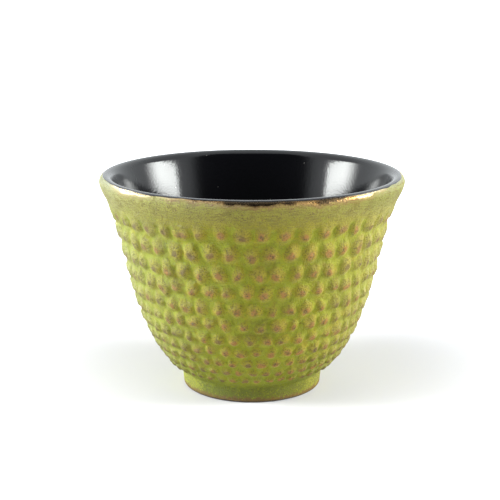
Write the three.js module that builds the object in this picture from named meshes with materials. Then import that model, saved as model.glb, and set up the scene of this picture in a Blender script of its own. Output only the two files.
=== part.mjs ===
// Cast iron tea cup without a handle: a hobnailed casting with a black enamel lining.
// Millimetres and degrees, +Z up, origin at the middle of the foot's underside.
import * as THREE from 'three';

// Overall sizes
const CUP_HEIGHT = 56.6;
const RIM_RADIUS = 39.4;
const LIP_ROUND = 1.6;
const LIP_INSIDE = 2.2;
const ENAMEL = 0.35;
const WALL = 1.8;
const FLOOR = 3.2;

// Foot ring
const FOOT_RADIUS = 18.5;
const FOOT_HEIGHT = 4.4;
const FOOT_TAPER = 0.3;
const FOOT_EDGE = 0.7;
const FOOT_RING_WIDTH = 3.6;
const RECESS_DEPTH = 2;
const RECESS_TAPER = 0.6;

// Bowl: angles lean outwards from upright
const BOWL_LEAN_FOOT = 49;
const BOWL_LEAN_TOP = 19;
const FLOOR_BLEND = 5;

// Smooth flared band between the studs and the lip
const BAND_HEIGHT = 5.5;
const BAND_FLARE = 2.7;
const BAND_LEAN_LOW = 26.5;
const BAND_LEAN_TOP = 6;
const MOUTH_LEAN = 20;
const MOUTH_DEPTH = 12.6;

// Hobnail studs: each stands in a six-sided cell, and the rows step round as they go down
const STUDS_PER_ROW = 45;
const STUD_STEP_ROUND = 0.39;
const FIRST_STUD_ANGLE = 4.3;
const ROW_GAP_FOOT = 2.85;
const ROW_GAP_TOP = 5.75;
const STUD_RISE_FOOT = 0.65;
const STUD_RISE_TOP = 1.05;
const STUD_SHOULDER = 0.58;
const SHOULDER_RISE = 0.7;
const CELL_POINT = 0.11;
const PLAIN_ABOVE_FOOT = 2;

// How finely round shapes are divided
const ROUND_STEPS = 48;
const EDGE_STEPS = 3;
const BAND_STEPS = 3;
const LIP_STEPS = 2;
const MOUTH_STEPS = 2;
const INSIDE_STEPS = 6;
const FLOOR_STEPS = 3;

const IRON_GREEN = 0x8f9140;
const ENAMEL_BLACK = 0x0d0c10;

const radians = THREE.MathUtils.degToRad;
const FULL_TURN = 2 * Math.PI;

// Profile points hold the radius in x and the height in y, and angle 0 is the front
const profilePoint = (radius, height) => new THREE.Vector2(radius, height);
const turned = (angle, { x, y }) => new THREE.Vector3(x * Math.sin(angle), -x * Math.cos(angle), y);
const leaning = (degrees) => profilePoint(Math.sin(radians(degrees)), Math.cos(radians(degrees)));
const sideways = (direction, distance) => profilePoint(direction.y, -direction.x).multiplyScalar(distance);

// A smooth profile that leaves one point and reaches another along given directions
function sweep(from, leaving, to, arriving) {
  const reach = from.distanceTo(to) / 3;
  const handleOut = from.clone().addScaledVector(leaving, reach);
  const handleIn = to.clone().addScaledVector(arriving, -reach);
  return new THREE.CubicBezierCurve(from, handleOut, handleIn, to);
}

function arc(centre, radius, fromDegrees, toDegrees) {
  return new THREE.EllipseCurve(centre.x, centre.y, radius, radius, radians(fromDegrees), radians(toDegrees));
}

// Outside of the bowl under the studs, from the foot up
const bowlFoot = profilePoint(FOOT_RADIUS, FOOT_HEIGHT);
const bowlTop = profilePoint(RIM_RADIUS - BAND_FLARE, CUP_HEIGHT - BAND_HEIGHT);
const bowl = sweep(bowlFoot, leaning(BOWL_LEAN_FOOT), bowlTop, leaning(BOWL_LEAN_TOP));
const bowlLength = bowl.getLength();

const graded = (atFoot, atTop, along) => THREE.MathUtils.lerp(atFoot, atTop, along / bowlLength);

// A point on the bowl, lifted off it by a distance that is negative towards the inside
function onBowl(along, lift) {
  const share = along / bowlLength;
  return bowl.getPointAt(share).add(sideways(bowl.getTangentAt(share), lift));
}

// Lip and band: the band starts as proud of the bowl as the stud tips do
const lipTop = profilePoint(RIM_RADIUS - LIP_ROUND, CUP_HEIGHT);
const bandFoot = onBowl(bowlLength, STUD_RISE_TOP);
const bandTop = profilePoint(RIM_RADIUS, CUP_HEIGHT - LIP_ROUND);
const band = sweep(bandFoot, leaning(BAND_LEAN_LOW), bandTop, leaning(BAND_LEAN_TOP));

// A part of the lip's round, which is tighter outside than inside, sunk below its finished face
function lipArc(round, sunk, fromDegrees, toDegrees) {
  const centre = profilePoint(lipTop.x, lipTop.y - round);
  return arc(centre, round - sunk, fromDegrees, toDegrees);
}

// Over the lip and down the inside to the middle of the floor, a given depth of enamel above the iron
function insideProfile(enamel) {
  const outerLip = lipArc(LIP_ROUND, ENAMEL - enamel, 0, 90);
  const innerLip = lipArc(LIP_INSIDE, ENAMEL - enamel, 90, 180 - MOUTH_LEAN);
  const mouthTop = innerLip.getPoint(1);
  const depth = -(WALL + enamel);
  const floorHeight = RECESS_DEPTH + FLOOR + enamel;
  const wallTop = alongAtHeight(depth, CUP_HEIGHT - MOUTH_DEPTH);
  const wallBottom = alongAtHeight(depth, floorHeight + FLOOR_BLEND);
  const downwards = (along) => bowl.getTangentAt(along / bowlLength).negate();
  const mouth = sweep(mouthTop, leaning(MOUTH_LEAN).negate(), onBowl(wallTop, depth), downwards(wallTop));
  const floorMiddle = profilePoint(0, floorHeight);
  const floor = sweep(onBowl(wallBottom, depth), downwards(wallBottom), floorMiddle, profilePoint(-1, 0));
  const wall = [];
  for (let step = 1; step < INSIDE_STEPS; step += 1) {
    const along = THREE.MathUtils.lerp(wallTop, wallBottom, step / INSIDE_STEPS);
    wall.push(onBowl(along, depth));
  }
  return [
    ...outerLip.getPoints(LIP_STEPS),
    ...innerLip.getPoints(LIP_STEPS).slice(1),
    ...mouth.getPoints(MOUTH_STEPS).slice(1),
    ...wall,
    ...floor.getPoints(FLOOR_STEPS),
  ];
}

// How far up the bowl its inside stands at a given height
function alongAtHeight(lift, height) {
  let low = 0;
  let high = bowlLength;
  for (let halving = 0; halving < 40; halving += 1) {
    const middle = (low + high) / 2;
    if (onBowl(middle, lift).y < height) low = middle;
    else high = middle;
  }
  return high;
}

// A closed skin made of rings of points, each joined to the next along the profile
class Skin {
  positions = [];
  faces = [];

  point(place) {
    this.positions.push(...place);
    return this.positions.length / 3 - 1;
  }

  placeOf(index) {
    return new THREE.Vector3().fromArray(this.positions, 3 * index);
  }

  corner(angle, place) {
    const wrapped = THREE.MathUtils.euclideanModulo(angle, FULL_TURN);
    return { angle: wrapped, index: this.point(turned(wrapped, place)) };
  }

  ring(place) {
    const corners = [];
    for (let step = 0; step < ROUND_STEPS; step += 1) {
      corners.push(this.corner((step / ROUND_STEPS) * FULL_TURN, place));
    }
    return corners;
  }

  // A ring whose corners stand at the same angles as those of another
  ringLike(other, place) {
    return other.map(({ angle }) => this.corner(angle, place));
  }

  // Joins two rings whose corners may differ in number, taking them in order of angle
  bridge(before, after) {
    const near = [...before].sort((a, b) => a.angle - b.angle);
    const far = [...after].sort((a, b) => a.angle - b.angle);
    const angleOf = (ring, step) => ring[step % ring.length].angle + (step < ring.length ? 0 : FULL_TURN);
    const indexOf = (ring, step) => ring[step % ring.length].index;
    let i = 0;
    let j = 0;
    while (i < near.length || j < far.length) {
      const nearNext = i < near.length && (j >= far.length || angleOf(near, i + 1) <= angleOf(far, j + 1));
      const tip = nearNext ? indexOf(near, i + 1) : indexOf(far, j + 1);
      this.faces.push(indexOf(near, i), tip, indexOf(far, j));
      if (nearNext) i += 1;
      else j += 1;
    }
  }

  // Carries on from a ring along a profile, and gives its last ring back
  follow(first, profile) {
    let last = first;
    for (const place of profile) {
      const next = this.ring(place);
      this.bridge(last, next);
      last = next;
    }
    return last;
  }

  // Closes a ring on the axis, where the profile starts or where it ends
  close(ring, place, atStart) {
    const middle = this.point(turned(0, place));
    ring.forEach((corner, step) => {
      const next = ring[(step + 1) % ring.length];
      if (atStart) this.faces.push(middle, next.index, corner.index);
      else this.faces.push(corner.index, next.index, middle);
    });
  }

  geometry() {
    const geometry = new THREE.BufferGeometry();
    geometry.setAttribute('position', new THREE.Float32BufferAttribute(this.positions, 3));
    geometry.setIndex(this.faces);
    geometry.computeVertexNormals();
    return geometry;
  }
}

// Distances up the bowl of the rows of studs, from the band down
function studRows() {
  const gapAt = (along) => graded(ROW_GAP_FOOT, ROW_GAP_TOP, along);
  const rows = [];
  let along = bowlLength - ROW_GAP_TOP * (0.5 + CELL_POINT);
  while (along - gapAt(along) * (0.5 + CELL_POINT) > PLAIN_ABOVE_FOOT) {
    rows.push({ along, gap: gapAt(along) });
    along -= gapAt(along);
  }
  return rows;
}

// The hobnails: zigzag lines divide the bowl into cells, and a stud rises in each
function addStuds(skin) {
  const rows = studRows();
  const pitch = FULL_TURN / STUDS_PER_ROW;
  const stepRound = STUD_STEP_ROUND * pitch;
  const rowAngle = (row) => radians(FIRST_STUD_ANGLE) + row * stepRound;

  // The line above a row, from its own gaps between studs up to those of the next row
  function zigzag(row, middle, point, upperLift) {
    const low = [];
    const high = [];
    for (let stud = 0; stud < STUDS_PER_ROW; stud += 1) {
      const gapAngle = rowAngle(row) + (stud + 0.5) * pitch;
      low.push(skin.corner(gapAngle, onBowl(middle - point, 0)));
      high.push(skin.corner(gapAngle - stepRound, onBowl(middle + point, upperLift)));
    }
    return { low, high };
  }

  const lines = rows.map(({ along, gap }, row) => {
    const gapAbove = row > 0 ? rows[row - 1].along - along : gap;
    const upperLift = row > 0 ? 0 : STUD_RISE_TOP;
    return zigzag(row, along + gapAbove / 2, gapAbove * CELL_POINT, upperLift);
  });
  const lowest = rows.at(-1);
  lines.push(zigzag(rows.length, lowest.along - lowest.gap / 2, lowest.gap * CELL_POINT, 0));

  rows.forEach(({ along }, row) => {
    const above = lines[row];
    const under = lines[row + 1];
    const rise = graded(STUD_RISE_FOOT, STUD_RISE_TOP, along);
    for (let stud = 0; stud < STUDS_PER_ROW; stud += 1) {
      const left = (stud + STUDS_PER_ROW - 1) % STUDS_PER_ROW;
      const cell = [
        under.high[left], under.low[left], under.high[stud],
        above.low[stud], above.high[stud], above.low[left],
      ];
      addStud(skin, cell, rowAngle(row) + stud * pitch, along, rise);
    }
  });
  const wholeLine = ({ low, high }) => [...low, ...high];
  return { lowEdge: wholeLine(lines.at(-1)), highEdge: wholeLine(lines[0]) };
}

// One stud: a tip, a shoulder round it and the corners of its cell
function addStud(skin, cell, angle, along, rise) {
  const base = turned(angle, onBowl(along, 0));
  const top = turned(angle, onBowl(along, rise));
  const shoulderLift = top.clone().sub(base).multiplyScalar(SHOULDER_RISE);
  const tip = skin.point(top);
  const shoulders = cell.map(({ index }) => {
    const spread = base.clone().lerp(skin.placeOf(index), STUD_SHOULDER);
    return skin.point(spread.add(shoulderLift));
  });
  cell.forEach(({ index }, side) => {
    const next = (side + 1) % cell.length;
    skin.faces.push(index, cell[next].index, shoulders[side]);
    skin.faces.push(cell[next].index, shoulders[next], shoulders[side]);
    skin.faces.push(shoulders[side], shoulders[next], tip);
  });
}

// Underside and outside of the foot ring, from the recess out and up to the bowl
function footProfile() {
  const ringInside = FOOT_RADIUS - FOOT_RING_WIDTH;
  const ringOutside = FOOT_RADIUS - FOOT_TAPER;
  const edge = arc(profilePoint(ringOutside - FOOT_EDGE, FOOT_EDGE), FOOT_EDGE, -90, 0);
  return [
    profilePoint(ringInside - RECESS_TAPER, RECESS_DEPTH),
    profilePoint(ringInside, 0),
    ...edge.getPoints(EDGE_STEPS),
    bowlFoot,
  ];
}

// The casting: one skin from the underside, up over the studs and the lip, and down the inside
function castBody() {
  const skin = new Skin();
  const [recessEdge, ...foot] = footProfile();
  const recess = skin.ring(recessEdge);
  skin.close(recess, profilePoint(0, RECESS_DEPTH), true);
  const footTop = skin.follow(recess, foot);

  const { lowEdge, highEdge } = addStuds(skin);
  const underStuds = skin.ringLike(lowEdge, onBowl(PLAIN_ABOVE_FOOT / 2, 0));
  skin.bridge(footTop, underStuds);
  skin.bridge(underStuds, lowEdge);

  const [firstOnBand, ...bandRest] = band.getPoints(BAND_STEPS).slice(1);
  const overStuds = skin.ringLike(highEdge, firstOnBand);
  skin.bridge(highEdge, overStuds);

  const inside = insideProfile(0);
  const floorMiddle = inside.pop();
  const floorRing = skin.follow(overStuds, [...bandRest, ...inside]);
  skin.close(floorRing, floorMiddle, false);
  return skin.geometry();
}

// The enamel: a glass shell on the iron, whose edge rests on a ledge at the outside of the lip
function enamelLining() {
  const onIron = insideProfile(0).reverse();
  const glassFace = insideProfile(ENAMEL);
  const lining = new THREE.LatheGeometry([...onIron, ...glassFace], ROUND_STEPS);
  lining.rotateX(radians(90));
  return lining;
}

function piece(name, geometry, look) {
  const mesh = new THREE.Mesh(geometry, new THREE.MeshStandardMaterial(look));
  mesh.name = name;
  return mesh;
}

const cup = new THREE.Group();
cup.add(piece('cast_body', castBody(), { color: IRON_GREEN, roughness: 0.55, metalness: 0.3 }));
cup.add(piece('enamel_lining', enamelLining(), { color: ENAMEL_BLACK, roughness: 0.12, metalness: 0 }));

export default cup;
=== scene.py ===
import math

import bpy
import numpy as np
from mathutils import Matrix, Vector


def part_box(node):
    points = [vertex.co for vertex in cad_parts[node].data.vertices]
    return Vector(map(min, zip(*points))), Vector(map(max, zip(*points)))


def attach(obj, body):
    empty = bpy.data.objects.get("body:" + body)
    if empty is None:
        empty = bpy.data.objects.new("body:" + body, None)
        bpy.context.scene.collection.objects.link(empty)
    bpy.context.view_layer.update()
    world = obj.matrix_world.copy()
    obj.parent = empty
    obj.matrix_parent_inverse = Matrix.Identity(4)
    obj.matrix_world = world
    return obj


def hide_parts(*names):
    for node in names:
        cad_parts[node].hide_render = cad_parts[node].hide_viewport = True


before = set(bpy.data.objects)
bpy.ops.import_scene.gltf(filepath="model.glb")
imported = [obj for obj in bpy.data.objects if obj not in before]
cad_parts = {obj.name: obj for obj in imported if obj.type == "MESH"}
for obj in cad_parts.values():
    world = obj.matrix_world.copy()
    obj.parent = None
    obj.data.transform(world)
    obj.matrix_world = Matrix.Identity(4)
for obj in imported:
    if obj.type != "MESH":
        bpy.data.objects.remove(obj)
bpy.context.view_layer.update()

MM = 0.001
FULL_TURN = 2 * math.pi

# Overall sizes, from the enamel lining in model.glb
_, lining_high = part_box("enamel_lining")
RIM_RADIUS = lining_high.x
CUP_HEIGHT = lining_high.z

# Wall, lip and enamel
LIP_ROUND = 1.6 * MM
LIP_INSIDE = 2.2 * MM
BARE_LIP_SINK = 0.03 * MM
ENAMEL = 0.35 * MM
WALL = 1.8 * MM
FLOOR = 3.2 * MM
FLOOR_BLEND = 5 * MM

# Foot ring, with soft corners round the recess under it
FOOT_RADIUS = 18.5 * MM
FOOT_HEIGHT = 4.4 * MM
FOOT_TAPER = 0.3 * MM
FOOT_EDGE = 0.7 * MM
FOOT_RING_WIDTH = 3.6 * MM
FOOT_FILLET = 0.7 * MM
RECESS_DEPTH = 2 * MM
RECESS_TAPER = 0.6 * MM
RECESS_RINGS = (0.3, 0.7)
SOFT_LONG = 0.3 * MM
SOFT_SHORT = 0.1 * MM
SOFT_UNDER = 0.15 * MM

# Bowl and flared band, with leans in degrees from upright
BOWL_LEAN_FOOT = 49
BOWL_LEAN_TOP = 19
BOWL_TOP_RADIUS = 36.7 * MM
BAND_HEIGHT = 5.5 * MM
BAND_LEAN_LOW = 26.5
BAND_LEAN_TOP = 6
MOUTH_LEAN = 20
MOUTH_DEPTH = 12.6 * MM
MOUTH_TURN = 180 - MOUTH_LEAN

# Hobnail studs
STUDS_PER_ROW = 45
STUD_PITCH = FULL_TURN / STUDS_PER_ROW
STUD_STEP_ROUND = 0.39
FIRST_STUD_ANGLE = math.radians(4.3)
ROW_GAP_FOOT = 2.85 * MM
ROW_GAP_TOP = 5.75 * MM
STUD_RISE_FOOT = 0.65 * MM
STUD_RISE_TOP = 1.05 * MM
CELL_POINT = 0.11
FALL_ROUND = 1.0
FALL_ABOVE = 0.64
FALL_BELOW = 1.25
FALL_POWER = 0.95
GROUND = 0.12
GROOVE_SHARPNESS = 6
TIP_SAG = 0.04
PLAIN_ABOVE_FOOT = 2 * MM
BAND_PROUD = 0.55
BAND_BLEND = (0.4, 1.1)

# How far hand-pressed studs stray from the even pattern
STRAY_LIMIT = 2
STUD_STRAY_ROUND = 0.12
STUD_STRAY_ALONG = 0.08
STUD_STRAY_RISE = 0.10
STUD_STRAY_SPREAD = 0.12
WARP_SIZE = 7 * MM
WARP_SHARE = 0.045
LUMP_SIZE = 2.2 * MM
LUMP_RISE = 0.045 * MM
LUMP_WAVES = 24

# Stains of the studs: their tones, and painted shade above the tip and painted floor-bounce light below
# it (middle and half height)
MEAN_TONE = 0.5
TONE_SPREAD = 0.5
PATINA_TURN = 0.45
PATINA_FACE = math.radians(5)
PAINTED_SHADE_WIDTH = 0.7
PAINTED_SHADE_ABOVE = (0.55, 0.40)
PAINTED_BOUNCE_BELOW = (-0.60, 0.30)
# Painted sheen: colours turn paler towards both sides of the cup, as the grazing sheen at its edges
PAINTED_SIDE_SHEEN_SHARE = 0.75
PAINTED_SIDE_SHEEN_POWER = 3.5

# Edge of the enamel: degrees up the lip's round, and how far it sways in long and short waves
ENAMEL_EDGE = 60
LONG_SWAY = 5
LONG_WAVES = (2, 3, 5, 7)
LONG_SEED = 5
SHORT_SWAY = 2
SHORT_WAVES = (13, 19, 29, 41, 53)
SHORT_SEED = 6

# Patches round the lip, foot and band: middle and half width in degrees from the front, and strength
PATCHES = {
    "bronze": ((-44, 17, 0.36), (-53, 8, 0.16), (50, 12, 0.38), (128, 18, 0.6), (-150, 16, 0.5)),
    "burnt": ((9, 31, 1.0), (-28, 5, 0.20), (178, 26, 0.9), (-100, 12, 0.4)),
    # The foot's tan patches at both sides are partly wear and partly painted side light, paler where
    # light from the sides falls
    "wear_and_side_light": ((-78, 40, 1.0), (66, 26, 0.6), (150, 40, 0.8)),
    "moss": ((68, 34, 1.0), (-170, 40, 0.7)),
}
PATCH_SEED = 21
PATCH_WAVES = (3, 5, 8, 13, 21, 34)
PATCH_SWAY = 0.10
PATCH_STEEPNESS = 4

# Fineness of the meshes
COLUMNS_PER_STUD = 11
RINGS_PER_GAP = 10
LINING_COLUMNS = 360
PATH_POINTS = 2001
WALL_RINGS = 22
MOUTH_RINGS = 16
FLOOR_RINGS = 14
BAND_RINGS = 13
FOOT_EDGE_RINGS = 7
FILLET_RINGS = 6
FILLET_CLEARANCE = 1.3

# Rings on the lip as shares of its bare or covered part, and how far the enamel's rounded edge is sunk
BARE_LIP_RINGS = (0.15, 0.4, 0.7, 0.9, 1.0)
HIDDEN_LIP_RINGS = (0.06, 0.3, 0.55, 0.8)
ENAMEL_BACK_RINGS = (0.98, 0.66, 0.33, 0.05)
ENAMEL_EDGE_RINGS = ((0.0, 0.1 * MM), (0.015, 0.02 * MM))
ENAMEL_FACE_RINGS = np.linspace(0.04, 1, 25, endpoint=False)

# Hidden skins keep only some of their rings, and a fan closes each skin inside its hub
IRON_INSIDE_STEP = 3
IRON_INSIDE_HUB = 3 * MM
ENAMEL_BACK_STEP = 2
ENAMEL_BACK_HUB = 2 * MM
ENAMEL_FACE_HUB = 0.5 * MM

RANDOM_SEED = 11
random = np.random.default_rng(RANDOM_SEED)


# Profiles: points hold a radius and a height

def leaning(degrees):
    angle = math.radians(degrees)
    return np.array([math.sin(angle), math.cos(angle)])


def sweep(start, leaving, end, arriving, count):
    """Points on a smooth profile that leaves and arrives along given directions."""
    reach = np.linalg.norm(end - start) / 3
    handle_out = start + reach * leaving
    handle_in = end - reach * arriving
    t = np.linspace(0, 1, count)[:, None]
    return ((1 - t) ** 3 * start + 3 * (1 - t) ** 2 * t * handle_out
            + 3 * (1 - t) * t ** 2 * handle_in + t ** 3 * end)


def arc(centre, radius, from_degrees, to_degrees, count):
    turn = np.radians(np.linspace(from_degrees, to_degrees, count))
    return centre + radius * np.stack([np.cos(turn), np.sin(turn)], axis=1)


def smooth(low, high, value):
    share = np.clip((value - low) / (high - low), 0, 1)
    return share * share * (3 - 2 * share)


class Bowl:
    """The bowl's outside under the studs, measured by the distance along it from the foot."""

    def __init__(self):
        foot = np.array([FOOT_RADIUS, FOOT_HEIGHT])
        top = np.array([BOWL_TOP_RADIUS, CUP_HEIGHT - BAND_HEIGHT])
        self.path = sweep(foot, leaning(BOWL_LEAN_FOOT), top, leaning(BOWL_LEAN_TOP), PATH_POINTS)
        steps = np.linalg.norm(np.diff(self.path, axis=0), axis=1)
        self.distance = np.concatenate([[0], np.cumsum(steps)])
        self.length = self.distance[-1]
        self.slope = np.gradient(self.path, self.distance, axis=0)

    def at(self, along, lift=0.0):
        radius, height = (np.interp(along, self.distance, self.path[:, k]) for k in (0, 1))
        across, up = (np.interp(along, self.distance, self.slope[:, k]) for k in (0, 1))
        return np.stack([radius + lift * up, height - lift * across], axis=-1)

    def slope_at(self, along):
        return np.array([np.interp(along, self.distance, self.slope[:, k]) for k in (0, 1)])

    def graded(self, at_foot, at_top, along):
        return at_foot + (at_top - at_foot) * along / self.length


bowl = Bowl()


def lip_at(turn, inset=0.0):
    """A point on the lip, turned in degrees from straight outwards over the top, and sunk by inset."""
    lip_round = np.where(turn > 90, LIP_INSIDE, LIP_ROUND)
    out = np.cos(np.radians(turn)) * (lip_round - inset)
    up = np.sin(np.radians(turn)) * (lip_round - inset)
    return np.stack([RIM_RADIUS - LIP_ROUND + out, CUP_HEIGHT - lip_round + up], axis=-1)


def covered_lip(edge, share, inset):
    """A point on the part of the lip that the enamel covers, from the enamel's edge to the mouth."""
    return lip_at(edge + (MOUTH_TURN - edge) * share, inset)


def inside_profile(enamel):
    """From the end of the lip's round down the inside to the middle of the floor."""
    mouth_top = lip_at(MOUTH_TURN, ENAMEL - enamel)
    depth = -(WALL + enamel)
    floor_height = RECESS_DEPTH + FLOOR + enamel
    inner = bowl.at(bowl.distance, depth)
    top, bottom = (np.interp(level, inner[:, 1], bowl.distance)
                   for level in (CUP_HEIGHT - MOUTH_DEPTH, floor_height + FLOOR_BLEND))
    wall = bowl.at(np.linspace(top, bottom, WALL_RINGS), depth)
    mouth = sweep(mouth_top, -leaning(MOUTH_LEAN), wall[0], -bowl.slope_at(top), MOUTH_RINGS)
    middle = np.array([0.0, floor_height])
    floor = sweep(wall[-1], -bowl.slope_at(bottom), middle, np.array([-1.0, 0.0]), FLOOR_RINGS)
    return np.concatenate([mouth[:-1], wall[:-1], floor])


def underside_profile():
    """From the recess out to the flat under the foot ring."""
    ring_inside = FOOT_RADIUS - FOOT_RING_WIDTH
    recess_edge = ring_inside - RECESS_TAPER
    return np.array([
        *([recess_edge * share, RECESS_DEPTH] for share in RECESS_RINGS),
        [recess_edge - SOFT_LONG, RECESS_DEPTH],
        [recess_edge, RECESS_DEPTH - SOFT_SHORT],
        [ring_inside - SOFT_SHORT, SOFT_LONG],
        [ring_inside + SOFT_UNDER, 0.0],
    ])


def foot_side_profile():
    """Round the edge of the foot ring and up to the bowl."""
    edge_middle = np.array([FOOT_RADIUS - FOOT_TAPER - FOOT_EDGE, FOOT_EDGE])
    edge = arc(edge_middle, FOOT_EDGE, -90, 0, FOOT_EDGE_RINGS)
    side_top = np.array([FOOT_RADIUS, FOOT_HEIGHT - FOOT_FILLET])
    bowl_start = bowl.at(FOOT_FILLET)
    fillet = sweep(side_top, leaning(0), bowl_start, leaning(BOWL_LEAN_FOOT), FILLET_RINGS)
    return np.concatenate([edge, fillet])


# Uneven edges and surfaces

def wander(angle, waves, seed):
    """A smooth uneven line round the cup, about -1 to 1."""
    source = np.random.default_rng(seed)
    total = np.zeros_like(angle)
    for wave in waves:
        total += source.normal() * np.cos(wave * angle) + source.normal() * np.sin(wave * angle)
    return total / math.sqrt(len(waves))


def lumps(theta, along, size, source):
    """A smooth uneven field over the bowl with lumps of about one size, and a spread of one."""
    total = np.zeros_like(theta)
    for way in source.uniform(0, math.pi, LUMP_WAVES):
        waves_round = round(FULL_TURN * BOWL_TOP_RADIUS / size * math.cos(way))
        waves_along = FULL_TURN / size * math.sin(way)
        total += np.cos(waves_round * theta + waves_along * along + source.uniform(0, FULL_TURN))
    return total * math.sqrt(2 / LUMP_WAVES)


def enamel_edge(angle):
    """How far up the lip's round, in degrees, the enamel ends at each angle."""
    long_sway = LONG_SWAY * wander(angle, LONG_WAVES, LONG_SEED)
    short_sway = SHORT_SWAY * wander(angle, SHORT_WAVES, SHORT_SEED)
    return ENAMEL_EDGE + long_sway + short_sway


def patch_strength(angle, patches, seed):
    """How strongly patches show at each angle, with uneven ends."""
    total = PATCH_SWAY * wander(angle, PATCH_WAVES, seed)
    for middle, half_width, strength in patches:
        off = (angle - math.radians(middle) + math.pi) % FULL_TURN - math.pi
        total += strength * np.exp(-(off / math.radians(half_width)) ** PATCH_STEEPNESS)
    return np.clip(total, 0, 1)


def round_facts(angle):
    """Facts for colours that change only round the cup: the patches, and a painted sheen towards both
    sides.
    """
    facts = {}
    for seed, (name, patches) in enumerate(PATCHES.items(), PATCH_SEED):
        facts[name] = patch_strength(angle, patches, seed)
    # Painted sheen, strongest towards both sides of the cup
    facts["painted_side_sheen"] = PAINTED_SIDE_SHEEN_SHARE * np.abs(np.sin(angle)) ** PAINTED_SIDE_SHEEN_POWER
    return facts


# Hobnail studs

def stud_rows():
    """Each row's distance along the bowl and its gap to the next, from the band down."""
    def gap_at(along):
        return bowl.graded(ROW_GAP_FOOT, ROW_GAP_TOP, along)

    rows = []
    cell_half = 0.5 + CELL_POINT
    along = bowl.length - ROW_GAP_TOP * cell_half
    while along - gap_at(along) * cell_half > PLAIN_ABOVE_FOOT:
        rows.append((along, gap_at(along)))
        along -= gap_at(along)
    return rows


def dome_share(fall):
    """A rounded stud's height, one at its tip and nothing at its foot, by the squared distance out."""
    return (1 + np.cos(math.pi * np.clip(fall, 0, 1) ** FALL_POWER)) / 2


def painted_spot(beside, away, middle, half_height):
    """A soft spot above or below a stud's tip, one at its middle: painted shade above, painted bounce
    light below.
    """
    return np.exp(-beside ** 2 - ((away - middle) / half_height) ** 2)


def stud_row(row, row_along, gap, theta, reach):
    """One row over the grid: domes, nearness to a stud and to its tip, painted shade and bounce light,
    and tone.
    """
    stray = random.normal(size=(4, STUDS_PER_ROW)).clip(-STRAY_LIMIT, STRAY_LIMIT)
    stud_angle = FIRST_STUD_ANGLE + (np.arange(STUDS_PER_ROW) + row * STUD_STEP_ROUND) * STUD_PITCH
    patina = PATINA_TURN * np.cos(stud_angle - PATINA_FACE) ** 2
    tones = TONE_SPREAD * random.uniform(size=STUDS_PER_ROW) + patina
    turned = (theta - FIRST_STUD_ANGLE) / STUD_PITCH - row * STUD_STEP_ROUND
    stud = np.round(turned)
    column = stud.astype(int) % STUDS_PER_ROW
    stray_round, stray_along, stray_rise, stray_spread = (values[column] for values in stray)

    off = (turned - stud) * 2
    across = off - STUD_STRAY_ROUND * stray_round * (1 - np.abs(off))
    away = (reach - row_along) / gap * 2 - STUD_STRAY_ALONG * stray_along
    fall_round = FALL_ROUND * across ** 2
    fall_along = np.where(away > 0, FALL_ABOVE, FALL_BELOW) * away ** 2
    spread = 1 + STUD_STRAY_SPREAD * stray_spread
    taller = STUD_STRAY_RISE * stray_rise
    near = dome_share((fall_round + fall_along) * spread)
    dome = near
    if row == 0:
        # The first row runs up into the band, so its grooves close there
        into_band = smooth(0.0, 1 + 2 * CELL_POINT, away)
        ridge = dome_share(fall_round * spread)
        dome = np.where(away > 0, ridge + (1 - ridge) * into_band, near)
        taller = taller * (1 - into_band)
        near = near + (BAND_PROUD - near) * smooth(*BAND_BLEND, away)

    # The tip spots and the painted shade and bounce spots keep their shape, so they measure across in the
    # same steps as along
    beside = across * (STUD_PITCH * bowl.at(row_along)[0] / gap)
    tip = 1 - np.hypot(beside, away + TIP_SAG)
    beside = beside / PAINTED_SHADE_WIDTH
    # Positive above the tip for painted shade, negative below it for painted floor-bounce light
    painted_shade_and_bounce = painted_spot(beside, away, *PAINTED_SHADE_ABOVE) - painted_spot(beside, away, *PAINTED_BOUNCE_BELOW)
    return dome * (1 + taller), near, tip, painted_shade_and_bounce, tones[column]


def stud_field(angle, along):
    """Lift of the surface on a grid, and facts for the colours of the studs."""
    theta, reach = np.meshgrid(angle, along)
    rise = bowl.graded(STUD_RISE_FOOT, STUD_RISE_TOP, reach)
    lumpy = LUMP_RISE * lumps(theta, reach, LUMP_SIZE, random)
    row_gap = bowl.graded(ROW_GAP_FOOT, ROW_GAP_TOP, reach)
    theta, reach = (theta + WARP_SHARE * STUD_PITCH * lumps(theta, reach, WARP_SIZE, random),
                    reach + WARP_SHARE * row_gap * lumps(theta, reach, WARP_SIZE, random))
    heaped = np.zeros_like(theta)
    facts = {name: np.zeros_like(theta) for name in ("stud", "tip", "painted_shade_and_bounce")}
    facts["tone"] = np.full_like(theta, MEAN_TONE)
    for row, (row_along, gap) in enumerate(stud_rows()):
        dome, near, tip, painted_shade_and_bounce, tone = stud_row(row, row_along, gap, theta, reach)
        heaped += dome ** GROOVE_SHARPNESS
        facts["stud"] = np.maximum(facts["stud"], near)
        facts["tone"] = np.where(tip > facts["tip"], tone, facts["tone"])
        facts["tip"] = np.maximum(facts["tip"], tip)
        facts["painted_shade_and_bounce"] += painted_shade_and_bounce
    low_end = smooth(0, PLAIN_ABOVE_FOOT, along)[:, None]
    top_end = smooth(bowl.length, bowl.length - ROW_GAP_TOP / 2, along)[:, None]
    lift = rise * low_end * (GROUND + (1 - GROUND) * heaped ** (1 / GROOVE_SHARPNESS))
    return lift + lumpy * low_end * top_end, facts


# Mesh making

def angles(columns):
    return np.arange(columns) / columns * FULL_TURN


def spun(profile, columns):
    """A profile repeated at every column."""
    return np.repeat(profile[:, None, :], columns, axis=1)


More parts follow.
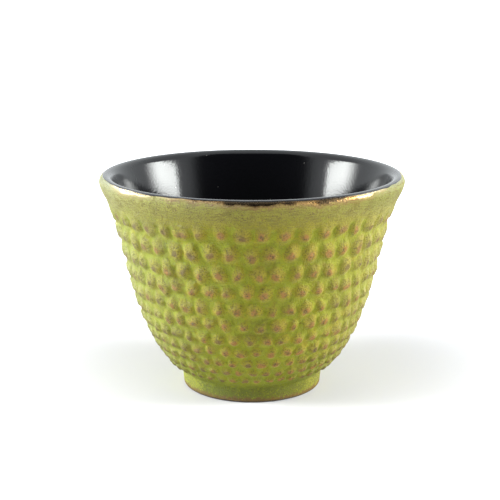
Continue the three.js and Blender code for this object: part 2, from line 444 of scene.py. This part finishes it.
def mesh_piece(name, skin, angle, facts, start_height, end_height):
    """A skin of rings, with a radius and a height at each column, closed on the axis at both ends."""
    rings, columns = skin.shape[:2]
    radius, height = skin[..., 0], skin[..., 1]
    places = np.stack([radius * np.sin(angle), -radius * np.cos(angle), height], axis=-1)
    places = np.concatenate([places.reshape(-1, 3), [[0, 0, start_height], [0, 0, end_height]]])
    ring, column = np.meshgrid(np.arange(rings - 1), np.arange(columns), indexing="ij")
    after = (column + 1) % columns
    corners = [ring * columns + column, ring * columns + after,
               (ring + 1) * columns + after, (ring + 1) * columns + column]
    quads = np.stack(corners, axis=-1).reshape(-1, 4)
    here = np.arange(columns)
    turn = (here + 1) % columns
    last = (rings - 1) * columns
    start_fan = np.stack([np.full(columns, rings * columns), turn, here], axis=1)
    end_fan = np.stack([last + here, last + turn, np.full(columns, rings * columns + 1)], axis=1)
    mesh = bpy.data.meshes.new(name)
    mesh.from_pydata(places.tolist(), [], quads.tolist() + start_fan.tolist() + end_fan.tolist())
    for fact, values in facts.items():
        layer = mesh.attributes.new(fact, "FLOAT", "POINT")
        with_ends = np.append(values.reshape(-1), [0.0, 0.0])
        layer.data.foreach_set("value", with_ends.astype(np.float32))
    mesh.shade_smooth()
    mesh.update()
    piece = bpy.data.objects.new(name, mesh)
    bpy.context.scene.collection.objects.link(piece)
    return piece


def bowl_rings():
    """Distances along the bowl for the mesh's rings, closer together where the rows of studs are."""
    rows_passed = np.cumsum(1 / bowl.graded(ROW_GAP_FOOT, ROW_GAP_TOP, bowl.distance))
    rows_passed = (rows_passed - rows_passed[0]) * bowl.distance[1]
    count = int(rows_passed[-1] * RINGS_PER_GAP)
    along = np.interp(np.linspace(0, rows_passed[-1], count), rows_passed, bowl.distance)
    return along[along > FOOT_FILLET * FILLET_CLEARANCE]


def make_casting():
    """The iron: underside, foot, studded bowl, band, bare lip, and the skin hidden by the enamel."""
    columns = STUDS_PER_ROW * COLUMNS_PER_STUD
    angle = angles(columns)
    underside = underside_profile()
    foot = np.concatenate([underside, foot_side_profile()])
    along = bowl_rings()
    lift, stud_facts = stud_field(angle, along)
    studs = bowl.at(np.repeat(along[:, None], columns, axis=1), lift)
    band_foot = bowl.at(bowl.length, STUD_RISE_TOP)
    band = sweep(band_foot, leaning(BAND_LEAN_LOW), lip_at(0.0), leaning(BAND_LEAN_TOP), BAND_RINGS)
    edge = enamel_edge(angle)
    lip = [lip_at(edge * share, BARE_LIP_SINK) for share in BARE_LIP_RINGS]
    lip += [covered_lip(edge, share, ENAMEL) for share in HIDDEN_LIP_RINGS]
    inside = inside_profile(0.0)
    floor_height = inside[-1][1]
    inside = inside[::IRON_INSIDE_STEP]
    inside = inside[inside[:, 0] > IRON_INSIDE_HUB]
    skin = np.concatenate([spun(foot, columns), studs, spun(band[1:], columns), np.array(lip),
                           spun(inside, columns)])

    studs_start = len(foot)
    studs_end = studs_start + len(along)
    facts = {name: np.zeros(skin.shape[:2]) for name in (*stud_facts, "under")}
    for name, values in stud_facts.items():
        facts[name][studs_start:studs_end] = values
    facts["stud"][studs_end:] = BAND_PROUD
    facts["under"][:len(underside)] = 1
    for name, values in round_facts(angle).items():
        facts[name] = np.tile(values, (len(skin), 1))
    return mesh_piece("hobnail_casting", skin, angle, facts, RECESS_DEPTH, floor_height)


def make_lining():
    """The enamel: its back against the iron, its rounded edge on the lip, and its face."""
    angle = angles(LINING_COLUMNS)
    edge = enamel_edge(angle)
    back = inside_profile(0.0)
    face = inside_profile(ENAMEL)
    back_rings = back[back[:, 0] > ENAMEL_BACK_HUB][::-1][::ENAMEL_BACK_STEP]
    face_rings = face[face[:, 0] > ENAMEL_FACE_HUB]
    lip = [covered_lip(edge, share, ENAMEL) for share in ENAMEL_BACK_RINGS]
    lip += [covered_lip(edge, share, inset) for share, inset in ENAMEL_EDGE_RINGS]
    lip += [covered_lip(edge, share, 0.0) for share in ENAMEL_FACE_RINGS]
    skin = np.concatenate([spun(back_rings, LINING_COLUMNS), np.array(lip),
                           spun(face_rings, LINING_COLUMNS)])
    return mesh_piece("enamel_lining_glass", skin, angle, {}, back[-1][1], face[-1][1])


# Material nodes

class Tree:
    """A shader's nodes, made one call at a time: a value that is a socket is linked, any other is set."""

    def __init__(self, owner):
        owner.use_nodes = True
        self.owner = owner
        self.nodes = owner.node_tree.nodes
        self.links = owner.node_tree.links
        self.nodes.clear()

    def add(self, kind, inputs, **settings):
        node = self.nodes.new(kind)
        for name, value in settings.items():
            setattr(node, name, value)
        for key, value in inputs.items():
            if isinstance(value, bpy.types.NodeSocket):
                self.links.new(value, node.inputs[key])
            else:
                node.inputs[key].default_value = value
        return node

    def place(self):
        return self.add("ShaderNodeTexCoord", {}).outputs["Object"]

    def fact(self, name):
        return self.add("ShaderNodeAttribute", {}, attribute_name=name).outputs["Fac"]

    def height(self):
        return self.add("ShaderNodeSeparateXYZ", {"Vector": self.place()}).outputs["Z"]

    def vector(self, operation, a, b, output="Vector"):
        node = self.add("ShaderNodeVectorMath", {0: a, 1: b}, operation=operation)
        return node.outputs[output]

    def noise(self, size, detail, rough, flat=1.0):
        """Noise with grains of about one size, or flattened so that they lie in level streaks."""
        spot = self.vector("MULTIPLY", self.place(), (1.0, 1.0, flat))
        settings = {"Vector": spot, "Scale": 1 / size, "Detail": detail, "Roughness": rough}
        return self.add("ShaderNodeTexNoise", settings).outputs["Fac"]

    def math(self, operation, a, b=0.0, c=0.0):
        return self.add("ShaderNodeMath", {0: a, 1: b, 2: c}, operation=operation).outputs[0]

    def times(self, a, b):
        return self.math("MULTIPLY", a, b)

    def span(self, value, low, high, to_low=0.0, to_high=1.0):
        ends = {"Value": value, "From Min": low, "From Max": high, "To Min": to_low, "To Max": to_high}
        return self.add("ShaderNodeMapRange", ends, interpolation_type="SMOOTHSTEP").outputs["Result"]

    def mix(self, share, first, second):
        node = self.add("ShaderNodeMix", {}, data_type="RGBA")
        for socket, value in (("Factor_Float", share), ("A_Color", first), ("B_Color", second)):
            target = next(s for s in node.inputs if s.identifier == socket)
            if isinstance(value, bpy.types.NodeSocket):
                self.links.new(value, target)
            else:
                target.default_value = (*value, 1.0)
        return next(s for s in node.outputs if s.identifier == "Result_Color")

    def bump(self, height, distance, strength=1.0, normal=None):
        inputs = {"Height": height, "Distance": distance, "Strength": strength}
        if normal is not None:
            inputs["Normal"] = normal
        return self.add("ShaderNodeBump", inputs).outputs["Normal"]

    def finish(self, **inputs):
        named = {key.replace("_", " "): value for key, value in inputs.items()}
        shader = self.add("ShaderNodeBsdfPrincipled", named)
        self.add("ShaderNodeOutputMaterial", {"Surface": shader.outputs["BSDF"]})
        return self.owner


# Colours
LIME = (0.380, 0.406, 0.005)
LEAF = (0.165, 0.158, 0.006)
OLIVE = (0.425, 0.368, 0.005)
TAN_OLIVE = (0.492, 0.380, 0.020)
BROWN_OLIVE = (0.245, 0.215, 0.016)
# Painted floor-bounce light, pale below the stud tips
PAINTED_BOUNCE_PALE = (0.450, 0.440, 0.050)
# Painted sheen towards both sides of the cup
PAINTED_SHEEN_PALE = (0.450, 0.440, 0.130)
PIT = (0.168, 0.146, 0.006)
MOSS = (0.255, 0.285, 0.034)
SAND = (0.520, 0.510, 0.015)
COPPER = (0.475, 0.225, 0.045)
MAUVE = (0.215, 0.155, 0.036)
UMBER = (0.150, 0.082, 0.026)
RIM_DUST = (0.402, 0.366, 0.042)
# The band's dust, painted paler as a sheen towards both sides
RIM_PAINTED_SHEEN = (0.345, 0.325, 0.170)
GOLD = (0.440, 0.330, 0.165)
BRONZE = (0.300, 0.180, 0.070)
# Burnt metal at the lip; also the painted contact shadow under the foot
BURNT = (0.070, 0.048, 0.026)
RUST = (0.330, 0.170, 0.050)
WORN_TAN = (0.480, 0.345, 0.110)
FOOT_BROWN = (0.260, 0.145, 0.018)
FOOT_GREEN = (0.170, 0.198, 0.000)
LOW_GREEN = (0.310, 0.375, 0.003)
# Tan on the foot: partly wear, partly painted side light
FOOT_SAND_AND_SIDE_LIGHT = (0.460, 0.450, 0.030)
ENAMEL_BLACK = (0.003, 0.003, 0.005)
ENAMEL_SPECK = (0.250, 0.240, 0.220)

# Noises on the casting: size of the grains, detail, roughness, and how much flatter than wide they are
CASTING_NOISES = {
    "sand": (0.31 * MM, 2.0, 0.7),
    "grain": (0.45 * MM, 3.0, 0.7),
    "mottle": (1.1 * MM, 3.0, 0.6),
    "patch": (3.2 * MM, 2.0, 0.5),
    "cloud": (14 * MM, 2.0, 0.5),
    "streak": (2.4 * MM, 3.0, 0.6, 7.0),
}
CASTING_RELIEF = {"mottle": 0.34 * MM, "grain": 0.60 * MM, "sand": 0.34 * MM}

# Where each colour of the casting sets in: from one value to another, and its share at both
PROUD_SHARE = 0.8
OLIVE_SPAN = (0.00, 0.35)
TAN_SPAN = (0.38, 0.82, 0.0, 0.95)
LEAF_SPAN = (0.50, 0.75, 0.0, 0.42)
LOW_GREEN_SPAN = (15 * MM, 6 * MM, 0.0, 0.55)
FOOT_SPAN = (FOOT_HEIGHT + 2.1 * MM, FOOT_HEIGHT - 1.4 * MM)
FOOT_SHARE = 0.85
FOOT_SAND_AND_SIDE_LIGHT_SPAN = (0.25, 0.85)
# Painted shade above the tips, and painted floor-bounce light below them
PAINTED_SHADE_SPAN = (0.15, 0.85, 0.0, 0.14)
PAINTED_BOUNCE_SPAN = (-0.20, -0.80, 0.0, 0.5)
GRIT_SPAN = (0.0, 0.8, 0.40, 0.95)
PIT_SPAN = (0.53, 0.31)
POINT_SPAN = (0.54, 0.72, 0.0, 0.7)
# Where the painted sheen shows: weak on the foot, strongest on what stands proud
PAINTED_SHEEN_OFF_FOOT_SPAN = (0.0, 1.0, 1.0, 0.15)
PAINTED_SHEEN_STUD_SPAN = (0.0, 0.7, 0.55, 1.25)
LOW_TIP_SPAN = (24 * MM, 6 * MM, 0.0, 0.20)
COPPER_SPAN = (0.30, 0.70)
DARK_TIP_SPAN = (0.55, 0.38)
# Tips go darker towards both sides of the cup, by the painted sheen's side mask
SIDE_DARK_TIP_SHARE = 0.45
TIP_SPAN = (0.50, 0.82, 0.0, 0.88)
BAND_DUST_SPAN = (CUP_HEIGHT - 8.1 * MM, CUP_HEIGHT - 2.1 * MM, 0.0, 0.8)
STREAK_SPAN = (0.51, 0.59, 0.0, 0.75)
STREAK_HEIGHTS = (CUP_HEIGHT - 8.6 * MM, CUP_HEIGHT - 4.6 * MM)
SPECK_SPAN = (0.54, 0.66, 0.0, 0.85)
SPECK_HEIGHTS = (CUP_HEIGHT - 9.6 * MM, CUP_HEIGHT - 3.6 * MM)
BRONZE_REACH = 2.0 * MM
BURNT_REACH = 1.5 * MM
SCORCH_SPAN = (CUP_HEIGHT - 0.9 * MM, CUP_HEIGHT + 0.5 * MM, 0.0, 0.8)
SCORCH_PATCH_SPAN = (0.0, 0.4)
RUST_SPAN = (0.1, 0.5)
BARE_SPAN = (CUP_HEIGHT - 0.1 * MM, CUP_HEIGHT + 0.7 * MM)
BRONZE_SPAN = (0.05, 0.40)
BURNT_SPAN = (0.40, 0.80)
FOOT_EDGE_SPAN = (1.7 * MM, 0.9 * MM)
FOOT_UMBER_SPAN = (0.50, 0.64)
# Painted contact shadow at the foot's lowest edge
PAINTED_CONTACT_SHADOW_SPAN = (0.7 * MM, 0.2 * MM)

# Gloss of the casting, and what bare metal at the lip changes
ROUGH_SPAN = (0.3, 0.7, 0.46, 0.62)
BARE_POLISH = 0.28
BARE_METAL = 0.95
BARE_SMOOTH = 0.85
LACQUER_SPECULAR = 0.58

# Enamel
RIPPLE_NOISE = (6 * MM, 2.0, 0.5)
RIPPLE_RELIEF = 0.015 * MM
PEEL_NOISE = (0.55 * MM, 2.0, 0.5)
PEEL_RELIEF = 0.020 * MM
DOT_STEP = 3.0 * MM
DOT_SPAN = (0.060, 0.04)
DOT_CHOICE_SPAN = (0.50, 0.54)
ENAMEL_ROUGHNESS = 0.30
ENAMEL_IOR = 1.18
ENAMEL_COAT_ROUGHNESS = 0.09


class CastingTree(Tree):
    """The casting's nodes, with the facts and noises that its colours share."""

    def __init__(self):
        super().__init__(bpy.data.materials.new("green_lacquered_iron"))
        self.noises = {name: self.noise(*values) for name, values in CASTING_NOISES.items()}
        self.noises["tone"] = self.fact("tone")
        self.stud = self.fact("stud")
        self.level = self.height()
        self.on_foot = self.span(self.shaken(self.level, mottle=3 * MM), *FOOT_SPAN)
        # Painted sheen towards both sides of the cup, weaker on the foot
        self.painted_side_sheen = self.times(self.fact("painted_side_sheen"), self.span(self.on_foot, *PAINTED_SHEEN_OFF_FOOT_SPAN))

    def shaken(self, value, **amounts):
        """A value moved up and down by noises, each by its own amount."""
        for name, amount in amounts.items():
            centred = self.math("SUBTRACT", self.noises[name], 0.5)
            value = self.math("MULTIPLY_ADD", centred, amount, value)
        return value

    def shaken_noise(self, noise, **amounts):
        return self.shaken(self.noises[noise], **amounts)


def lacquer_colour(t):
    """Bright green left in the pits, olive and tan on what stands proud, and a foot with tan patches that
    are partly wear and partly painted side light.
    """
    proud = t.shaken(t.times(t.stud, PROUD_SHARE), mottle=1.1, patch=1.2)
    colour = t.mix(t.span(proud, *OLIVE_SPAN), LIME, OLIVE)
    colour = t.mix(t.span(proud, *TAN_SPAN), colour, TAN_OLIVE)
    colour = t.mix(t.span(t.shaken_noise("cloud", mottle=0.8), *LEAF_SPAN), colour, LEAF)
    colour = t.mix(t.span(t.level, *LOW_GREEN_SPAN), colour, LOW_GREEN)
    # Tan patches on the foot: partly wear, partly painted side light at both sides
    foot_wear_and_side_light = t.span(t.shaken(t.fact("wear_and_side_light"), mottle=1.0, grain=1.4), *FOOT_SAND_AND_SIDE_LIGHT_SPAN)
    foot_colour = t.mix(foot_wear_and_side_light, FOOT_GREEN, FOOT_SAND_AND_SIDE_LIGHT)
    return t.mix(t.times(t.on_foot, FOOT_SHARE), colour, foot_colour)


def with_painted_shade_and_bounce(t, colour):
    """Painted shade darkens the studs above their tips, and painted floor-bounce light leaves them pale
    below.
    """
    painted_shade_and_bounce = t.shaken(t.fact("painted_shade_and_bounce"), mottle=1.0)
    # BROWN_OLIVE here is painted shade on the upper slope of each stud
    colour = t.mix(t.span(painted_shade_and_bounce, *PAINTED_SHADE_SPAN), colour, BROWN_OLIVE)
    return t.mix(t.span(painted_shade_and_bounce, *PAINTED_BOUNCE_SPAN), colour, PAINTED_BOUNCE_PALE)


def with_sand(t, colour):
    """Painted pale sheen at the sides, and sand grain that shows as dark pits and pale worn points."""
    gritty = t.math("MAXIMUM", t.span(t.stud, *GRIT_SPAN), t.on_foot)
    pits = t.times(t.span(t.shaken_noise("sand", grain=0.6), *PIT_SPAN), gritty)
    points = t.times(t.span(t.shaken_noise("grain", mottle=0.4), *POINT_SPAN), gritty)
    # Painted sheen: paler towards both sides of the cup
    colour = t.mix(t.times(t.painted_side_sheen, t.span(t.stud, *PAINTED_SHEEN_STUD_SPAN)), colour, PAINTED_SHEEN_PALE)
    return t.mix(points, t.mix(pits, colour, PIT), SAND)


def with_tips(t, colour):
    """A worn copper-brown spot on each tip, different on each stud."""
    spot = t.shaken(t.fact("tip"), mottle=0.7, grain=0.45, tone=0.12)
    spot = t.math("ADD", spot, t.span(t.level, *LOW_TIP_SPAN))
    tip_colour = t.mix(t.span(t.noises["tone"], *COPPER_SPAN), MAUVE, COPPER)
    tip_colour = t.mix(t.span(t.shaken_noise("grain", mottle=0.9), *DARK_TIP_SPAN), tip_colour, UMBER)
    # Tips go darker towards both sides of the cup, by the painted sheen's side mask
    tip_colour = t.mix(t.times(t.painted_side_sheen, SIDE_DARK_TIP_SHARE), tip_colour, UMBER)
    return t.mix(t.span(spot, *TIP_SPAN), colour, tip_colour)


def with_band_dust(t, colour):
    """Dust, moss, level streaks and dark specks on the band, with the dust painted paler as a sheen
    towards both sides.
    """
    dust = t.span(t.shaken(t.level, patch=6 * MM, streak=8 * MM), *BAND_DUST_SPAN)
    # The band's dust turns paler towards both sides as a painted sheen
    colour = t.mix(dust, colour, t.mix(t.painted_side_sheen, RIM_DUST, RIM_PAINTED_SHEEN))
    colour = t.mix(t.times(t.fact("moss"), dust), colour, MOSS)
    streaks = t.span(t.shaken_noise("streak", patch=0.5), *STREAK_SPAN)
    colour = t.mix(t.times(streaks, t.span(t.level, *STREAK_HEIGHTS)), colour, BROWN_OLIVE)
    specks = t.span(t.shaken_noise("sand", grain=0.5), *SPECK_SPAN)
    return t.mix(t.times(specks, t.span(t.level, *SPECK_HEIGHTS)), colour, UMBER)


def with_lip(t, colour):
    """Clean bronze in some places on the lip, burnt brown in others, and lacquer elsewhere.

    It also returns how bare the metal is.
    """
    bronze = t.fact("bronze")
    burnt = t.fact("burnt")
    level = t.shaken(t.level, grain=0.6 * MM, mottle=0.7 * MM, patch=1.0 * MM)
    level = t.math("MULTIPLY_ADD", bronze, BRONZE_REACH, level)
    level = t.math("MULTIPLY_ADD", burnt, BURNT_REACH, level)
    scorch = t.span(t.shaken(level, sand=2.0 * MM, streak=2.0 * MM), *SCORCH_SPAN)
    scorch = t.times(scorch, t.span(t.math("MAXIMUM", burnt, bronze), *SCORCH_PATCH_SPAN))
    colour = t.mix(scorch, colour, t.mix(t.span(burnt, *RUST_SPAN), WORN_TAN, RUST))
    bare = t.span(level, *BARE_SPAN)
    charred = t.shaken(t.math("SUBTRACT", burnt, bronze), patch=1.4, grain=1.0)
    metal = t.mix(t.span(charred, *BRONZE_SPAN), GOLD, BRONZE)
    metal = t.mix(t.span(charred, *BURNT_SPAN), metal, BURNT)
    return t.mix(bare, colour, metal), bare


def with_foot(t, colour):
    """A worn brown edge under the foot, a painted contact shadow at its very bottom, and the bare
    underside.
    """
    wear_and_side_light = t.span(t.shaken(t.level, mottle=2.4 * MM, grain=3.2 * MM), *FOOT_EDGE_SPAN)
    worn_colour = t.mix(t.span(t.noises["grain"], *FOOT_UMBER_SPAN), FOOT_BROWN, UMBER)
    colour = t.mix(wear_and_side_light, colour, worn_colour)
    # Painted contact shadow: the colour goes almost black where the foot meets the floor
    colour = t.mix(t.span(t.level, *PAINTED_CONTACT_SHADOW_SPAN), colour, BURNT)
    return t.mix(t.fact("under"), colour, UMBER)


def casting_material():
    """Lime lacquer on sand-cast iron, with copper-brown stud tips and bronze at the lip and foot."""
    t = CastingTree()
    colour = lacquer_colour(t)
    for layer in (with_painted_shade_and_bounce, with_sand, with_tips, with_band_dust):
        colour = layer(t, colour)
    colour, bare = with_lip(t, colour)
    colour = with_foot(t, colour)
    rough = t.math("SUBTRACT", t.span(t.noises["grain"], *ROUGH_SPAN), t.times(bare, BARE_POLISH))
    cast_skin = t.math("SUBTRACT", 1.0, t.times(bare, BARE_SMOOTH))
    surface = None
    for noise, relief in CASTING_RELIEF.items():
        surface = t.bump(t.noises[noise], relief, cast_skin, surface)
    return t.finish(Base_Color=colour, Metallic=t.times(bare, BARE_METAL), Roughness=rough,
                    Specular_IOR_Level=LACQUER_SPECULAR, Normal=surface)


def enamel_material():
    """Glossy black enamel with a slight ripple and a few specks."""
    t = Tree(bpy.data.materials.new("black_enamel"))
    dots = t.add("ShaderNodeTexVoronoi", {"Vector": t.place(), "Scale": 1 / DOT_STEP})
    dot = t.span(dots.outputs["Distance"], *DOT_SPAN)
    chance = t.add("ShaderNodeSeparateColor", {"Color": dots.outputs["Color"]}).outputs[0]
    speck = t.times(dot, t.span(chance, *DOT_CHOICE_SPAN))
    colour = t.mix(speck, ENAMEL_BLACK, ENAMEL_SPECK)
    surface = t.bump(t.noise(*RIPPLE_NOISE), RIPPLE_RELIEF)
    surface = t.bump(t.noise(*PEEL_NOISE), PEEL_RELIEF, normal=surface)
    return t.finish(Base_Color=colour, Roughness=ENAMEL_ROUGHNESS, IOR=ENAMEL_IOR, Coat_Weight=1.0,
                    Coat_Roughness=ENAMEL_COAT_ROUGHNESS, Normal=surface, Coat_Normal=surface)


# Light panels: degrees behind the cup's sides, and reaches as two elevations and the share that fades in
PANEL_DISTANCE = 450 * MM
PANEL_WIDTH = 310 * MM
PANEL_FRONT_EDGE = 0.08
PANEL_BACK_FADE = 0.5
PANEL_TOP_EDGE = 0.88
CUP_BEHIND = 4
EDGE_BEHIND = 58
FLOOR_BEHIND = -7
GLOSS_REACH = (5, 25, 0.5)
FILL_REACH = (2, 34, 0.6)
GLOSS_RADIANCE = 18.5
FILL_RADIANCE = 40.9
EDGE_RADIANCE = 11.5
FLOOR_RADIANCES = {"left": 31.8, "right": 29.4}
GLOSS_TINT = (0.97, 1.0, 0.98)
FILL_TINTS = {"left": (0.878, 1.003, 1.20), "right": (0.847, 0.815, 0.68)}
EDGE_TINT = (0.85, 0.95, 1.10)
NEUTRAL = (1.0, 1.0, 1.0)

# Floor, with a shade round the cup and a glow away from it
FLOOR_HALF_SIZE = 4.0
FLOOR_PALE = (0.785, 0.79, 0.825)
FLOOR_IN_GLOSS = (0.44, 0.43, 0.38)
FLOOR_ROUGHNESS = 0.9
SHADE_SHAPE = (0.82, 1.0, 1.0)
SHADE_MIDDLE = (0.005, 0.018, 0.0)
NEAR_GLOW_SPAN = (24 * MM, 98 * MM, 0.0, 0.8)
FAR_GLOW_SPAN = (120 * MM, 500 * MM)
MATT_GLOW = 0.3

# Surroundings
TENT_COLOUR = (0.95, 1.0, 1.02, 1.0)
SURROUND = 0.98
MATT_SURROUND = 0.33
FRONT_DARK = 0.045
FRONT_SPAN = (-0.40, -0.72)
LOW_SPAN = (0.98, 0.85)
JUST_OVER_ONE = 1.0001
BACKDROP_WHITE = 1.05

# Camera
CAMERA_PLACE = Vector((-0.50, -312.9, 111.0)) * MM
CAMERA_PITCH = 13.51
CAMERA_LENS = 88.16
SENSOR = 36.0


def floor_material():
    t = Tree(bpy.data.materials.new("white_floor"))
    spot = t.vector("MULTIPLY", t.place(), SHADE_SHAPE)
    reach = t.vector("DISTANCE", spot, SHADE_MIDDLE, "Value")
    path = t.add("ShaderNodeLightPath", {})
    glow = t.math("ADD", t.span(reach, *NEAR_GLOW_SPAN), t.span(reach, *FAR_GLOW_SPAN))
    glow = t.times(glow, t.span(path.outputs["Is Diffuse Ray"], 0.0, 1.0, 1.0, MATT_GLOW))
    shade = t.mix(path.outputs["Is Glossy Ray"], FLOOR_PALE, FLOOR_IN_GLOSS)
    return t.finish(Base_Color=shade, Roughness=FLOOR_ROUGHNESS, Emission_Color=shade,
                    Emission_Strength=glow)


def make_floor():
    """A plain pale floor that glows white away from the cup, with a painted shade where the glow is held
    back round the cup, on top of the cup's own shadow.
    """
    size = FLOOR_HALF_SIZE
    mesh = bpy.data.meshes.new("floor")
    corners = [(-size, -size, 0), (size, -size, 0), (size, size, 0), (-size, size, 0)]
    mesh.from_pydata(corners, [], [(0, 1, 2, 3)])
    mesh.materials.append(floor_material())
    floor = bpy.data.objects.new("floor", mesh)
    bpy.context.scene.collection.objects.link(floor)
    return floor


def shade_panel(light, side, rise):
    """Makes a panel crisp in front and at its top, and fading towards its back and its foot."""
    t = Tree(light)
    spot = t.add("ShaderNodeNewGeometry", {}).outputs["Parametric"]
    parts = t.add("ShaderNodeSeparateXYZ", {"Vector": spot})
    front, behind = (0.0, 1.0) if side > 0 else (1.0, 0.0)
    crisp = t.span(parts.outputs["X"], front, front + side * PANEL_FRONT_EDGE)
    fade = t.span(parts.outputs["X"], behind, behind - side * PANEL_BACK_FADE)
    low_end = t.span(parts.outputs["Y"], 0.0, rise)
    top_end = t.span(parts.outputs["Y"], 1.0, PANEL_TOP_EDGE)
    strength = t.times(t.times(crisp, fade), t.times(low_end, top_end))
    glow = t.add("ShaderNodeEmission", {"Strength": strength})
    t.add("ShaderNodeOutputLight", {"Surface": glow.outputs[0]})


def make_side_panel(name, side, behind_degrees, reach, tint, radiance, lit):
    """An upright light panel that lights one object, as if black cards kept it off the others."""
    low, high, rise = reach
    bottom, top = (PANEL_DISTANCE * math.tan(math.radians(degrees)) for degrees in (low, high))
    turn = math.radians(behind_degrees)
    outward = Vector((side * math.cos(turn), math.sin(turn), 0))
    light = bpy.data.lights.new(name, "AREA")
    light.shape = "RECTANGLE"
    light.color = tint
    light.size = PANEL_WIDTH
    light.size_y = top - bottom
    light.energy = radiance * math.pi * light.size * light.size_y
    shade_panel(light, side, rise)
    lamp = bpy.data.objects.new(name, light)
    lamp.location = outward * PANEL_DISTANCE + Vector((0, 0, CUP_HEIGHT + (bottom + top) / 2))
    lamp.rotation_euler = outward.to_track_quat("Z", "Y").to_euler()
    receivers = bpy.data.collections.new(name + "_lights")
    receivers.objects.link(lit)
    lamp.light_linking.receiver_collection = receivers
    bpy.context.scene.collection.objects.link(lamp)


def make_surroundings():
    """White all round, but dark in front, as a camera stands before the open side of a light tent."""
    world = bpy.data.worlds.new("light_tent")
    bpy.context.scene.world = world
    t = Tree(world)
    way = t.add("ShaderNodeTexCoord", {}).outputs["Generated"]
    parts = t.add("ShaderNodeSeparateXYZ", {"Vector": way})
    level_squared = t.math("SUBTRACT", JUST_OVER_ONE, t.math("POWER", parts.outputs["Z"], 2.0))
    forward = t.math("DIVIDE", parts.outputs["Y"], t.math("SQRT", level_squared))
    open_side = t.times(t.span(forward, *FRONT_SPAN), t.span(parts.outputs["Z"], *LOW_SPAN))
    level = t.span(open_side, 0.0, 1.0, SURROUND, FRONT_DARK)
    path = t.add("ShaderNodeLightPath", {})
    to_matt = t.math("SUBTRACT", MATT_SURROUND, level)
    level = t.math("MULTIPLY_ADD", path.outputs["Is Diffuse Ray"], to_matt, level)
    backdrop = t.times(path.outputs["Is Camera Ray"], BACKDROP_WHITE)
    level = t.math("MAXIMUM", level, backdrop)
    back = t.add("ShaderNodeBackground", {"Color": TENT_COLOUR, "Strength": level})
    t.add("ShaderNodeOutputWorld", {"Surface": back.outputs[0]})


def make_camera():
    data = bpy.data.cameras.new("camera")
    data.sensor_width = SENSOR
    data.lens = CAMERA_LENS
    camera = bpy.data.objects.new("camera", data)
    camera.location = CAMERA_PLACE
    camera.rotation_euler = (math.radians(90 - CAMERA_PITCH), 0, 0)
    bpy.context.scene.collection.objects.link(camera)
    bpy.context.scene.camera = camera


def dress(piece, node, material):
    piece.data.materials.append(material)
    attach(piece, "root")
    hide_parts(node)


bpy.context.scene.view_settings.view_transform = "Standard"
make_camera()
floor = make_floor()
casting = make_casting()
lining = make_lining()
for side_name, side in (("left", -1), ("right", 1)):
    make_side_panel("gloss_panel_" + side_name, side, CUP_BEHIND, GLOSS_REACH,
                    GLOSS_TINT, GLOSS_RADIANCE, lining)
    make_side_panel("fill_panel_" + side_name, side, CUP_BEHIND, FILL_REACH,
                    FILL_TINTS[side_name], FILL_RADIANCE, casting)
    make_side_panel("edge_panel_" + side_name, side, EDGE_BEHIND, FILL_REACH,
                    EDGE_TINT, EDGE_RADIANCE, casting)
    make_side_panel("floor_panel_" + side_name, side, FLOOR_BEHIND, FILL_REACH,
                    NEUTRAL, FLOOR_RADIANCES[side_name], floor)
make_surroundings()
dress(casting, "cast_body", casting_material())
dress(lining, "enamel_lining", enamel_material())
